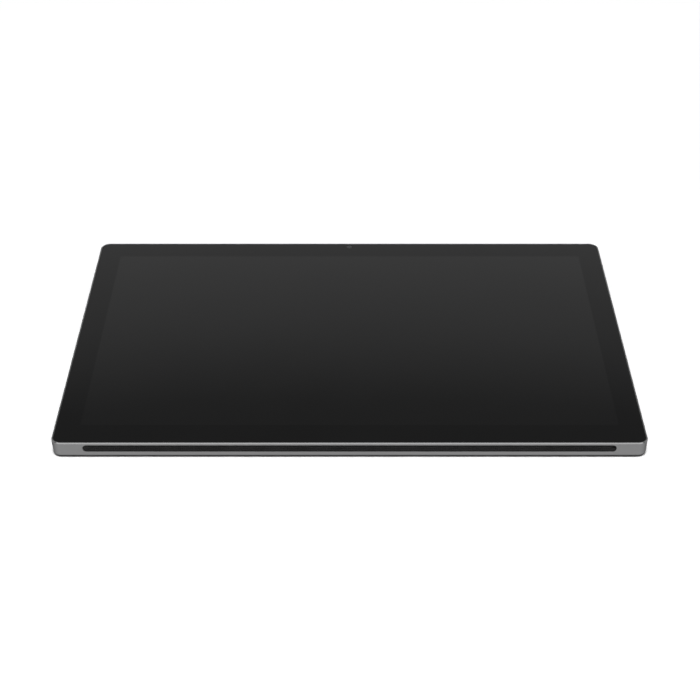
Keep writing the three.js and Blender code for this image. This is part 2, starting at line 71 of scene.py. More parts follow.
# ---- Sizes ----------------------------------------------------------------------------------

LOW, HIGH = box_mm("rear_housing")
LENGTH, WIDTH, THICKNESS = HIGH - LOW
CORNER_RADIUS = 5.2
CORNER_STEPS = 16  # straight pieces in each plan corner
BACK_FILLET = 1.6
FILLET_STEPS = 10
RIM_CHAMFER = 0.45
LEAN = 0.06  # how far the edges come in towards the back, per mm of height
WALL = 2.2
FLOOR = 1.0
LEDGE_INSET = 4.2
LEDGE_TOP, LEDGE_BOTTOM = 7.25, 6.25

GLASS_LOW, GLASS_HIGH = box_mm("cover_glass")
GLASS_FIT = 0.1  # between the glass and the rim
RIM_INSET = LENGTH / 2 - GLASS_HIGH.x - GLASS_FIT
ACTIVE_LENGTH, ACTIVE_WIDTH = 260.0, 173.3  # lit area of the panel

CAMERA_HOLE = Vector((0, WIDTH / 2 - 4.2, 0))  # front camera, in the glass
CAMERA_HOLE_RADIUS = 1.6


def edge_inset(z):
    """How far the leaning edge lies inside the widest outline, at a height."""
    return LEAN * max(THICKNESS - RIM_CHAMFER - z, 0)


# ---- Camera ---------------------------------------------------------------------------------

CAMERA_AIM = Vector((0.21, -9.61, THICKNESS / 2)) * MM
CAMERA_ELEVATION = math.radians(31.06)
CAMERA_DISTANCE = 0.9101
CAMERA_LENS = 89.65  # millimetres, on a 36 mm sensor


def add_camera():
    data = bpy.data.cameras.new("camera")
    data.sensor_width = 36
    data.lens = CAMERA_LENS
    data.clip_start = 0.01
    data.clip_end = 100
    camera = bpy.data.objects.new("camera", data)
    back = Vector((0, -math.cos(CAMERA_ELEVATION), math.sin(CAMERA_ELEVATION)))
    camera.location = CAMERA_AIM + back * CAMERA_DISTANCE
    camera.rotation_euler = (math.pi / 2 - CAMERA_ELEVATION, 0, 0)
    scene.collection.objects.link(camera)
    scene.camera = camera


add_camera()


# ---- Material helpers -------------------------------------------------------------------------


def plain(name, color, roughness, metallic=0.0, **sockets):
    """A Principled material; sockets are further inputs by name, with _ for a space."""
    made = bpy.data.materials.new(name)
    made.use_nodes = True
    shader = made.node_tree.nodes["Principled BSDF"]
    shader.inputs["Base Color"].default_value = (*color, 1)
    shader.inputs["Roughness"].default_value = roughness
    shader.inputs["Metallic"].default_value = metallic
    for key, value in sockets.items():
        shader.inputs[key.replace("_", " ")].default_value = value
    return made


def noise(made, size_mm, detail=3.0, stretch=(1, 1, 1)):
    """A noise texture in the part's own millimetres. Returns its factor output."""
    tree = made.node_tree
    place = tree.nodes.new("ShaderNodeTexCoord")
    scaling = tree.nodes.new("ShaderNodeMapping")
    scaling.inputs["Scale"].default_value = stretch
    texture = tree.nodes.new("ShaderNodeTexNoise")
    texture.inputs["Scale"].default_value = 1 / (size_mm * MM)
    texture.inputs["Detail"].default_value = detail
    tree.links.new(place.outputs["Object"], scaling.inputs["Vector"])
    tree.links.new(scaling.outputs["Vector"], texture.inputs["Vector"])
    return texture.outputs["Fac"]


def vary_color(made, factor, dark, light, low=0.35, high=0.65):
    """The base colour goes from dark to light as the factor goes from low to high."""
    tree = made.node_tree
    ramp = tree.nodes.new("ShaderNodeValToRGB")
    first, last = ramp.color_ramp.elements
    first.position, last.position = low, high
    first.color, last.color = (*dark, 1), (*light, 1)
    tree.links.new(factor, ramp.inputs["Fac"])
    tree.links.new(ramp.outputs["Color"], tree.nodes["Principled BSDF"].inputs["Base Color"])


def vary_roughness(made, factor, low, high):
    tree = made.node_tree
    spread = tree.nodes.new("ShaderNodeMapRange")
    spread.inputs["From Min"].default_value = 0.3
    spread.inputs["From Max"].default_value = 0.7
    spread.inputs["To Min"].default_value = low
    spread.inputs["To Max"].default_value = high
    tree.links.new(factor, spread.inputs["Value"])
    tree.links.new(spread.outputs["Result"], tree.nodes["Principled BSDF"].inputs["Roughness"])


def emboss(made, factor, strength, depth_mm):
    tree = made.node_tree
    bump = tree.nodes.new("ShaderNodeBump")
    bump.inputs["Strength"].default_value = strength
    bump.inputs["Distance"].default_value = depth_mm * MM
    tree.links.new(factor, bump.inputs["Height"])
    tree.links.new(bump.outputs["Normal"], tree.nodes["Principled BSDF"].inputs["Normal"])


def shaded(color, share):
    return tuple(c * share for c in color)


# ---- Materials --------------------------------------------------------------------------------

ALUMINIUM = (0.6, 0.6, 0.605)


def anodised_aluminium():
    """Bead-blasted and anodised: a fine even grain, with slow changes of tone."""
    made = plain("anodised_aluminium", ALUMINIUM, 0.4, 1.0)
    vary_color(made, noise(made, 40), shaded(ALUMINIUM, 0.98), shaded(ALUMINIUM, 1.02))
    vary_roughness(made, noise(made, 3), 0.36, 0.44)
    emboss(made, noise(made, 0.12), 0.25, 0.01)
    return made


def cut_aluminium():
    """A bevel that is cut after anodising: brighter and smoother, with faint cutter marks."""
    bright = (0.66, 0.66, 0.665)
    made = plain("cut_aluminium", bright, 0.22, 1.0)
    marks = noise(made, 1.5, stretch=(1, 1, 6))
    vary_color(made, marks, shaded(bright, 0.96), bright)
    vary_roughness(made, marks, 0.18, 0.26)
    return made


def black_glass(name, ink, ior):
    """Polished glass over something dark, with the faintest smears."""
    made = plain(name, ink, 0.03, IOR=ior)
    vary_color(made, noise(made, 60), shaded(ink, 0.92), shaded(ink, 1.08))
    vary_roughness(made, noise(made, 18), 0.02, 0.05)
    return made


def clear_glass():
    """A camera's window: clear, with a faint haze."""
    tint = (0.93, 0.95, 0.97)
    made = plain("clear_glass", tint, 0.0, IOR=1.5, Transmission_Weight=1.0)
    vary_color(made, noise(made, 2), shaded(tint, 0.97), tint)
    vary_roughness(made, noise(made, 1), 0.0, 0.02)
    return made


def coated_lens():
    """The front element of a lens: dark, with a faintly blue coating that shows by reflection."""
    depths = (0.006, 0.006, 0.008)
    made = plain("coated_lens", depths, 0.05, IOR=1.8, Coat_Weight=0.6, Coat_Tint=(0.85, 0.88, 1.0, 1))
    vary_color(made, noise(made, 1.2), shaded(depths, 0.7), shaded(depths, 1.6))
    return made


def moulded(name, color, roughness, grain_mm=0.15, strength=0.3, specular=0.5):
    """Fine-grained moulded plastic."""
    made = plain(name, color, roughness, Specular_IOR_Level=specular)
    vary_color(made, noise(made, 8), shaded(color, 0.85), shaded(color, 1.15))
    emboss(made, noise(made, grain_mm), strength, 0.02)
    return made


def metal_sheet(name, color, roughness, grain_mm=0.6, stretch=(1, 8, 1)):
    """Rolled or stamped sheet, with its grain along one way."""
    made = plain(name, color, roughness, 1.0)
    grain = noise(made, grain_mm, stretch=stretch)
    vary_color(made, grain, shaded(color, 0.85), shaded(color, 1.1))
    vary_roughness(made, grain, roughness * 0.8, roughness * 1.3)
    emboss(made, grain, 0.1, 0.01)
    return made


def film(name, color, roughness, **sockets):
    """A thin plastic film with slow waves in it."""
    made = plain(name, color, roughness, **sockets)
    waves = noise(made, 12)
    vary_color(made, waves, shaded(color, 0.93), color)
    emboss(made, waves, 0.15, 0.05)
    return made


def circuit_board():
    """Green solder mask over tracks that show through it."""
    mask = (0.012, 0.075, 0.04)
    made = plain("circuit_board", mask, 0.35)
    tracks = noise(made, 2.2, detail=0, stretch=(1, 0.4, 1))
    vary_color(made, tracks, shaded(mask, 0.7), shaded(mask, 1.7), 0.47, 0.53)
    emboss(made, tracks, 0.2, 0.03)
    return made


def crumpled_foil():
    """A battery pouch: dull foil, a little uneven."""
    foil = (0.16, 0.16, 0.17)
    made = plain("pouch_foil", foil, 0.38, 0.7)
    dents = noise(made, 9)
    vary_color(made, dents, shaded(foil, 0.8), shaded(foil, 1.15))
    emboss(made, dents, 0.35, 0.2)
    return made


aluminium = anodised_aluminium()
cut_edge = cut_aluminium()
border_glass = black_glass("border_glass", (0.0039, 0.0039, 0.004), 1.5)
screen_glass = black_glass("screen_glass", (0.0034, 0.0034, 0.0035), 1.65)
window_glass = clear_glass()
lens_glass = coated_lens()
black_plastic = moulded("black_plastic", (0.018, 0.018, 0.018), 0.5)
grille_black = moulded("grille_black", (0.017, 0.017, 0.017), 0.55, 0.1, 0.2, 0.2)
steel = metal_sheet("stainless_steel", (0.56, 0.56, 0.57), 0.3)
gold = metal_sheet("gold_plate", (0.75, 0.55, 0.25), 0.25)

SLOT_MATERIALS = {
    "anodised_aluminium": aluminium,
    "black_glass": border_glass,
    "black_foam": moulded("black_foam", (0.025, 0.025, 0.025), 0.9, 0.4, 0.8),
    "clear_plastic": film("clear_plastic", (0.8, 0.83, 0.85), 0.12, Transmission_Weight=0.8),
    "panel_dark": film("panel_dark", (0.02, 0.021, 0.026), 0.15),
    "white_film": film("white_film", (0.82, 0.82, 0.8), 0.45),
    "stainless_steel": steel,
    "copper_sheet": metal_sheet("copper_sheet", (0.72, 0.4, 0.25), 0.3),
    "gold_plate": gold,
    "black_plastic": black_plastic,
    "grille_mesh": grille_black,
    "circuit_board": circuit_board(),
    "pouch_foil": crumpled_foil(),
    "amber_film": film("amber_film", (0.48, 0.2, 0.035), 0.25),
    "lens_glass": lens_glass,
}


def finish_cad_nodes():
    """Every CAD node takes the material of its slot in the record."""
    for row in frame["record"]["subparts"]:
        mesh = nodes[row["node"]].data
        mesh.materials.clear()
        mesh.materials.append(SLOT_MATERIALS[row["material_slot"]])


finish_cad_nodes()


# ---- Shapes -----------------------------------------------------------------------------------


def rounded(length, width, radius, steps=CORNER_STEPS):
    """Returns outline(inset): the points of a rounded rectangle, drawn in by inset all round."""

    def outline(inset):
        corner = max(radius - inset, 0.02)
        x, y = length / 2 - inset - corner, width / 2 - inset - corner
        points = []
        for quarter, (cx, cy) in enumerate([(x, y), (-x, y), (-x, -y), (x, -y)]):
            for step in range(steps + 1):
                angle = (quarter + step / steps) * math.pi / 2
                points.append((cx + corner * math.cos(angle), cy + corner * math.sin(angle)))
        return points

    return outline


def circle(radius, steps=48):
    """Returns outline(inset): the points of a circle, drawn in by inset."""

    def outline(inset):
        turns = [2 * math.pi * i / steps for i in range(steps)]
        return [((radius - inset) * math.cos(a), (radius - inset) * math.sin(a)) for a in turns]

    return outline


def upright(x=0.0, y=0.0, z=0.0, way=1):
    """Places an outline in the X-Y plane, with its depth upwards, or downwards where way is -1."""
    return lambda u, v, depth: (x + u, y + v, z + way * depth)


def facing_y(x, y, z, way=1, lean=0.0):
    """Places an outline on an edge that faces -Y, or +Y where way is -1. Depth goes into the edge."""
    return lambda u, v, depth: (x + u, y + way * (depth - lean * v), z + v)


def facing_x(x, y, z, way=1, lean=0.0):
    """Places an outline on an edge that faces -X, or +X where way is -1. Depth goes into the edge."""
    return lambda u, v, depth: (x + way * (depth - lean * v), y + u, z + v)


def stack(outline, sections, place=upright(), bands=None):
    """A closed solid through (inset, depth) sections of one outline. bands gives each stretch between
    two sections its material's number, and is 0 everywhere if it is left out."""
    made = bmesh.new()
    rings = [[made.verts.new(place(u, v, depth)) for u, v in outline(inset)] for inset, depth in sections]
    for band, (lower, upper) in enumerate(zip(rings, rings[1:])):
        for i in range(len(lower)):
            j = (i + 1) % len(lower)
            face = made.faces.new((lower[i], lower[j], upper[j], upper[i]))
            face.material_index = bands[band] if bands else 0
    made.faces.new(list(reversed(rings[0])))
    top = made.faces.new(rings[-1])
    top.material_index = bands[-1] if bands else 0
    bmesh.ops.remove_doubles(made, verts=made.verts, dist=1e-4)
    bmesh.ops.recalc_face_normals(made, faces=made.faces)
    return made


def as_object(name, made, *materials):
    """A bmesh in millimetres as a mesh object, still in millimetres."""
    mesh = bpy.data.meshes.new(name)
    for material in materials:
        mesh.materials.append(material)
    made.to_mesh(mesh)
    made.free()
    piece = bpy.data.objects.new(name, mesh)
    scene.collection.objects.link(piece)
    return piece


def combined(piece, operation, tools):
    """Joins or cuts the piece with each tool, a bmesh in millimetres, and keeps the result as its mesh."""
    tool_objects = [as_object("tool", tool) for tool in tools]
    for tool in tool_objects:
        step = piece.modifiers.new("step", "BOOLEAN")
        step.object = tool
        step.operation = operation
        step.solver = "EXACT"
    shape = bpy.data.meshes.new_from_object(piece.evaluated_get(bpy.context.evaluated_depsgraph_get()))
    piece.modifiers.clear()
    piece.data = shape
    for tool in tool_objects:
        bpy.data.objects.remove(tool)
    return piece


def complete(piece, body, replaces=(), sharp_degrees=35):
    """Brings a piece from millimetres to metres, smooths it and sets it on its body."""
    mesh = piece.data
    for vertex in mesh.vertices:
        vertex.co *= MM
    for face in mesh.polygons:
        face.use_smooth = True
    mesh.set_sharp_from_angle(angle=math.radians(sharp_degrees))
    weighted = piece.modifiers.new("normals", "WEIGHTED_NORMAL")
    weighted.keep_sharp = True
    weighted.weight = 100
    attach(piece, body)
    if replaces:
        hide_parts(*replaces)
    return piece


def rounded_edge(size, steps=5):
    """Sections of a rounded edge, from (size, 0) to (0, size)."""
    angles = [step / steps * math.pi / 2 for step in range(steps + 1)]
    return [(size * (1 - math.sin(a)), size * (1 - math.cos(a))) for a in angles]


OVERSHOOT = 1.0  # how far a cutter goes past the material on either side


def mouth(depth, bevel):
    """Sections of a cutter that starts outside a wall, has a bevelled mouth and goes depth deep."""
    return [(-bevel - OVERSHOOT, -OVERSHOOT), (-bevel, 0), (0, bevel), (0, depth)]


THROUGH_WALL = WALL + OVERSHOOT


# ---- Housing ----------------------------------------------------------------------------------

SLOT_CLEARANCE = 0.1  # between the grille strip and its slot
SLOT_DEPTH = 0.7
STRIP_RECESS = 0.12
KEY_CLEARANCE = 0.15
KEY_CAP_HEIGHT = 2.6
KEY_ROUND = 0.35  # the rounded edge of a cap
KEY_FLANGE_OVER = 1.4  # how much longer a key's hidden flange is than its cap, at each end
KEY_FLANGE_THICKNESS = 0.6
PORT_CLEARANCE = 0.1
TRAY_CLEARANCE = 0.08
SPEAKER_PORT = {"length": 40, "height": 1.6, "z": 4.55}
MICROPHONE_HOLE = 0.45
REAR_CAMERA_HOLE = 5.15
EYE_POCKET = {"length": 6.4, "width": 4.4, "bottom": 5.0, "shift": 0.7}  # shifted towards the far edge


def housing_sections():
    """The tray's skin from the middle of its back, round the edge and down again inside."""
    outside = []
    for step in range(FILLET_STEPS + 1):
        angle = step / FILLET_STEPS * math.pi / 2
        inset = edge_inset(BACK_FILLET) + BACK_FILLET * (1 - math.sin(angle))
        outside.append((inset, BACK_FILLET * (1 - math.cos(angle))))
    outside += [(0, THICKNESS - RIM_CHAMFER), (RIM_CHAMFER, THICKNESS)]
    inside = [
        (RIM_INSET, THICKNESS),
        (RIM_INSET, LEDGE_TOP),
        (LEDGE_INSET, LEDGE_TOP),
        (LEDGE_INSET, LEDGE_BOTTOM),
        (WALL, LEDGE_BOTTOM),
        (WALL, FLOOR),
    ]
    bands = [0] * (FILLET_STEPS + 1) + [1, 1] + [0] * len(inside)
    return outside + inside, bands


def near_edge(x, z):
    return facing_y(x, LOW.y + edge_inset(z), z, 1, LEAN)


def far_edge(x, z):
    return facing_y(x, HIGH.y - edge_inset(z), z, -1, LEAN)


def left_edge(y, z):
    return facing_x(LOW.x + edge_inset(z), y, z, 1, LEAN)


def right_edge(y, z):
    return facing_x(HIGH.x - edge_inset(z), y, z, -1, LEAN)


def strip_outline(extra=0.0):
    """The grille strip's pill outline, extra larger all round."""
    low, high = box_mm("grille_strip")
    length, height = high.x - low.x + 2 * extra, high.z - low.z + 2 * extra
    return rounded(length, height, height / 2)


def key_cap(node, extra=0.0):
    low, high = box_mm(node)
    length = high.x - low.x - 2 * KEY_FLANGE_OVER + 2 * extra
    height = KEY_CAP_HEIGHT + 2 * extra
    return rounded(length, height, height / 2)


def edge_pill(node, extra=0.0):
    """The outline, in the Y-Z plane, of a node with full-round ends."""
    low, high = box_mm(node)
    width, height = high.y - low.y + 2 * extra, high.z - low.z + 2 * extra
    return rounded(width, height, height / 2)


def housing_cutters():
    """One cutter for each opening in the housing."""
    strip = middle("grille_strip")
    yield stack(strip_outline(SLOT_CLEARANCE), mouth(SLOT_DEPTH, 0.04), near_edge(strip.x, strip.z))
    for speaker in ("speaker_left", "speaker_right"):
        port = rounded(SPEAKER_PORT["length"], SPEAKER_PORT["height"], SPEAKER_PORT["height"] / 2)
        place = near_edge(middle(speaker).x, SPEAKER_PORT["z"])
        yield stack(port, [(0, SLOT_DEPTH / 2), (0, THROUGH_WALL)], place)
    for node in ("power_button", "volume_rocker"):
        spot = middle(node)
        yield stack(key_cap(node, KEY_CLEARANCE), mouth(THROUGH_WALL, 0.12), far_edge(spot.x, spot.z))
    for node in ("microphone_left", "microphone_right"):
        spot = middle(node)
        yield stack(circle(MICROPHONE_HOLE, 24), mouth(THROUGH_WALL, 0.08), far_edge(spot.x, spot.z))
    for node in ("usb_c_shell_front", "usb_c_shell_rear"):
        spot = middle(node)
        yield stack(edge_pill(node, PORT_CLEARANCE), mouth(THROUGH_WALL, 0.15), right_edge(spot.y, spot.z))
    spot = middle("card_tray")
    yield stack(edge_pill("card_tray", TRAY_CLEARANCE), mouth(THROUGH_WALL, 0.03), left_edge(spot.y, spot.z))
    lens = middle("rear_camera_ring")
    yield stack(circle(REAR_CAMERA_HOLE, 64), mouth(FLOOR + OVERSHOOT, 0.12), upright(lens.x, lens.y))
    pocket = rounded(EYE_POCKET["length"], EYE_POCKET["width"], 0.3, 4)
    deep = [(0, EYE_POCKET["bottom"]), (0, LEDGE_TOP + 0.1)]
    yield stack(pocket, deep, upright(0, middle("front_camera_module").y + EYE_POCKET["shift"]))


def add_housing():
    sections, bands = housing_sections()
    skin = stack(rounded(LENGTH, WIDTH, CORNER_RADIUS), sections, bands=bands)
    tray = as_object("housing_body", skin, aluminium, cut_edge)
    combined(tray, "DIFFERENCE", list(housing_cutters()))
    complete(tray, "tablet", ["rear_housing"])


add_housing()


# ---- Glass ------------------------------------------------------------------------------------

GLASS_ROUND = 0.15  # the polished edge of the glass
ACTIVE_CORNER = 1.0


def add_glass():
    """One sheet. Its flat top is split at the lit area's edge, which has a material of its own."""
    thickness = GLASS_HIGH.z - GLASS_LOW.z
    length, width = GLASS_HIGH.x - GLASS_LOW.x, GLASS_HIGH.y - GLASS_LOW.y
    plan = rounded(length, width, CORNER_RADIUS - RIM_INSET - GLASS_FIT)
    active = rounded(ACTIVE_LENGTH, ACTIVE_WIDTH, ACTIVE_CORNER)

    def outline(inset):
        return active(0) if inset is None else plan(inset)

    top_edge = [(inset, thickness - depth) for inset, depth in reversed(rounded_edge(GLASS_ROUND))]
    sections = [(GLASS_ROUND, 0), (0, GLASS_ROUND), *top_edge, (None, thickness)]
    bands = [0] * (len(sections) - 1) + [1]
    sheet = stack(outline, sections, upright(0, 0, GLASS_LOW.z), bands)
    piece = as_object("screen_sheet", sheet, border_glass, screen_glass)
    hole = stack(circle(CAMERA_HOLE_RADIUS), [(0, 0), (0, 2)], upright(*CAMERA_HOLE.xy, GLASS_LOW.z - 0.5))
    combined(piece, "DIFFERENCE", [hole])
    complete(piece, "tablet", ["cover_glass"])


add_glass()


# ---- Cameras ------------------------------------------------------------------------------------


def dome(radius, height, steps=6):
    """Sections of a dome, from its rim at depth height to its top at depth 0."""
    angles = [step / steps * math.pi / 2 for step in range(steps)]
    return [(radius * (1 - math.cos(a)), height * (1 - math.sin(a))) for a in angles]


# The steps down inside a barrel: how far in, as a share of its radius, and how deep, as a share of its depth.
BARREL_STEPS = [(0.06, 0), (0.2, 0.5), (0.32, 0.5), (0.42, 1)]
BARREL_FLOOR = 0.06
LENS_SHARE = 0.52  # the lens's radius, as a share of the barrel's
EYE_GAP = 0.02  # between window, barrel and lens


def add_eye(name, radius, window, barrel_depth, place, replaces=()):
    """A camera as it is seen: a clear window, and under it a stepped black barrel with a domed lens.
    Depth 0 is the window's outer face, and barrel_depth is how deep the barrel ends."""
    inner = circle(radius - EYE_GAP)
    pane = [*rounded_edge(0.04, 2), (0, window)]
    glass = as_object(f"{name}_window", stack(inner, pane, place), window_glass)
    complete(glass, "tablet", replaces)

    top = window + EYE_GAP
    floor = barrel_depth - BARREL_FLOOR
    steps = [(0, barrel_depth), (0, top)]
    steps += [(radius * inset, top + (floor - top) * depth) for inset, depth in BARREL_STEPS]
    barrel = as_object(f"{name}_barrel", stack(inner, steps, place), black_plastic)
    complete(barrel, "tablet")

    lens_radius = radius * LENS_SHARE
    lens_top = top + EYE_GAP
    rim = floor - EYE_GAP

    def bulge(u, v, depth):
        return place(u, v, lens_top + depth)

    shape = [(0, rim - lens_top), *dome(lens_radius, rim - lens_top - EYE_GAP)]
    lens = as_object(f"{name}_lens", stack(circle(lens_radius), shape, bulge), lens_glass)
    complete(lens, "tablet", sharp_degrees=70)


# The rear camera's ring: (inset, depth) from its outer wall, over its crown, to its bore.
RING_CROWN = [(0, 0.3), (0.12, 0.12), (0.35, 0), (0.6, 0.05), (0.88, 0.3)]


def add_cameras():
    glass_thickness = GLASS_HIGH.z - GLASS_LOW.z
    front = upright(*CAMERA_HOLE.xy, GLASS_HIGH.z, -1)
    add_eye("front_camera", CAMERA_HOLE_RADIUS, 0.12, glass_thickness - 0.02, front)

    spot = middle("rear_camera_window")
    low, high = box_mm("rear_camera_window")
    back = upright(spot.x, spot.y, low.z)
    add_eye("rear_camera", (high.x - low.x) / 2, 0.2, 0.72, back, ["rear_camera_window"])

    low, high = box_mm("rear_camera_ring")
    depth = high.z - low.z
    ring = [(0, depth), *RING_CROWN, (RING_CROWN[-1][0], depth)]
    bands = [0, 1, 1, 1, 1, 0, 0]
    made = stack(circle((high.x - low.x) / 2, 64), ring, upright(spot.x, spot.y, low.z), bands)
    bmesh.ops.delete(made, geom=[f for f in made.faces if len(f.verts) > 4], context="FACES_ONLY")
    bmesh.ops.bridge_loops(made, edges=[e for e in made.edges if e.is_boundary])
    bmesh.ops.recalc_face_normals(made, faces=made.faces)
    trim = as_object("rear_camera_trim", made, aluminium, cut_edge)
    complete(trim, "tablet", ["rear_camera_ring"])


add_cameras()


# ---- Keys -----------------------------------------------------------------------------------------


def add_key(name, node, body):
    """A pill cap with a rounded edge, on a flange that stays inside the wall."""
    low, high = box_mm(node)
    spot = middle(node)
    depth = high.y - low.y
    sections = [*rounded_edge(KEY_ROUND, 6), (0, depth - KEY_FLANGE_THICKNESS / 2)]
    cap = stack(key_cap(node), sections, facing_y(spot.x, high.y, spot.z, -1))
    plate = rounded(high.x - low.x, high.z - low.z, 0.5, 4)
    flange_sections = [(0.1, 0), (0, 0.1), (0, KEY_FLANGE_THICKNESS)]
    flange = stack(plate, flange_sections, facing_y(spot.x, low.y, spot.z))
    key = combined(as_object(name, cap, aluminium), "UNION", [flange])
    complete(key, body, [node])


add_key("power_key_cap", "power_button", "power_key")
add_key("volume_key_cap", "volume_rocker", "volume_key")


# ---- Card tray ------------------------------------------------------------------------------------

TRAY_HEAD_DEPTH = 1.6
TRAY_HEAD_ROUND = 0.06
TRAY_PLATE = {"width": 14.0, "height": 0.9, "bevel": 0.08, "overlap": 0.3}  # overlap: into the head
CARD = {"length": 15.2, "width": 11.2, "depth": 0.7, "x": 14.0, "ledge": 1.6}  # ledge: under its edges
EJECT_HOLE = {"radius": 0.5, "y": 5.6, "depth": 0.95}


def add_card_tray():
    """A head that lies flush in the left edge, and a plate with a stepped pocket for the card."""
    low, high = box_mm("card_tray")
    spot = middle("card_tray")
    face_x = low.x + LEAN * (high.z - low.z) / 2
    head_sections = [*rounded_edge(TRAY_HEAD_ROUND, 2), (0, TRAY_HEAD_DEPTH)]
    head = stack(edge_pill("card_tray"), head_sections, facing_x(face_x, spot.y, spot.z, 1, LEAN))

    plate_start = face_x + TRAY_HEAD_DEPTH - TRAY_PLATE["overlap"]
    plate_length = high.x - plate_start
    half_height = TRAY_PLATE["height"] / 2
    plan = rounded(plate_length, TRAY_PLATE["width"], 0.8, 6)
    bevel = TRAY_PLATE["bevel"]
    plate_sections = [(bevel, 0), (0, bevel), (0, 2 * half_height - bevel), (bevel, 2 * half_height)]
    plate_place = upright(plate_start + plate_length / 2, spot.y, spot.z - half_height)
    plate = stack(plan, plate_sections, plate_place)
    tray = combined(as_object("card_drawer", head, aluminium), "UNION", [plate])

    pocket_x = face_x + TRAY_HEAD_DEPTH + CARD["x"]
    card = rounded(CARD["length"], CARD["width"], 1.0, 6)
    pocket_bottom = spot.z + half_height - CARD["depth"]
    pocket = stack(card, [(0, 0), (0, 2)], upright(pocket_x, spot.y, pocket_bottom))
    window = stack(card, [(CARD["ledge"], -2), (CARD["ledge"], 1)], upright(pocket_x, spot.y, pocket_bottom))
    pin = stack(
        circle(EJECT_HOLE["radius"], 24),
        mouth(EJECT_HOLE["depth"], 0.08),
        facing_x(face_x, spot.y + EJECT_HOLE["y"], spot.z),
    )
    combined(tray, "DIFFERENCE", [pocket, window, pin])
    complete(tray, "card_carrier", ["card_tray"])


add_card_tray()


# ---- Charging ports -------------------------------------------------------------------------------

SHELL_WALL = 0.3
LIP_STEPS = 6  # straight pieces in the shell's rolled lip
TONGUE_ROUND = 0.12
CONTACT = {"count": 12, "pitch": 0.5, "width": 0.26, "length": 3.4, "height": 0.03, "start": 0.5, "sunk": 0.02}


def add_port(place_name):
    """A drawn steel shell with a rolled lip, and a tongue with a row of contacts on each side."""
    shell_node, tongue_node = f"usb_c_shell_{place_name}", f"usb_c_tongue_{place_name}"
    low, high = box_mm(shell_node)
    spot = middle(shell_node)
    depth = high.x - low.x
    half_wall = SHELL_WALL / 2
    turns = [step / LIP_STEPS * math.pi for step in range(LIP_STEPS + 1)]
    lip = [(half_wall * (1 - math.cos(a)), half_wall * (1 - math.sin(a))) for a in turns]
    sections = [(0, depth), *lip, (SHELL_WALL, depth - SHELL_WALL)]
    shell = stack(edge_pill(shell_node), sections, facing_x(high.x, spot.y, spot.z, -1))
    complete(as_object(f"usb_shell_{place_name}", shell, steel), "tablet", [shell_node])

    low, high = box_mm(tongue_node)
    slab = rounded(high.y - low.y, high.z - low.z, 0.2, 4)
    tongue_sections = [*rounded_edge(TONGUE_ROUND, 3), (0, high.x - low.x)]
    tongue = stack(slab, tongue_sections, facing_x(high.x, spot.y, spot.z, -1))
    tongue_piece = as_object(f"usb_tongue_{place_name}", tongue, black_plastic)
    complete(tongue_piece, "tablet", [tongue_node])

    contacts = bmesh.new()
    pad = rounded(CONTACT["length"], CONTACT["width"], 0.08, 3)
    pad_sections = [(0, -CONTACT["sunk"]), (0, CONTACT["height"])]
    x = high.x - CONTACT["start"] - CONTACT["length"] / 2
    for side in (-1, 1):
        face_z = spot.z + side * (high.z - low.z) / 2
        for number in range(CONTACT["count"]):
            y = spot.y + (number - (CONTACT["count"] - 1) / 2) * CONTACT["pitch"]
            single = stack(pad, pad_sections, upright(x, y, face_z, side))
            mesh = bpy.data.meshes.new("pad")
            single.to_mesh(mesh)
            single.free()
            contacts.from_mesh(mesh)
            bpy.data.meshes.remove(mesh)
    bmesh.ops.recalc_face_normals(contacts, faces=contacts.faces)
    pads = as_object(f"usb_contacts_{place_name}", contacts, gold)
    complete(pads, "tablet")


add_port("front")
add_port("rear")


# ---- Grille -------------------------------------------------------------------------------------

HOLE = {"pitch": 1.0, "radius": 0.27, "sides": 8, "depth": 0.3, "rows": 3}
STRIP_BEVEL = 0.03


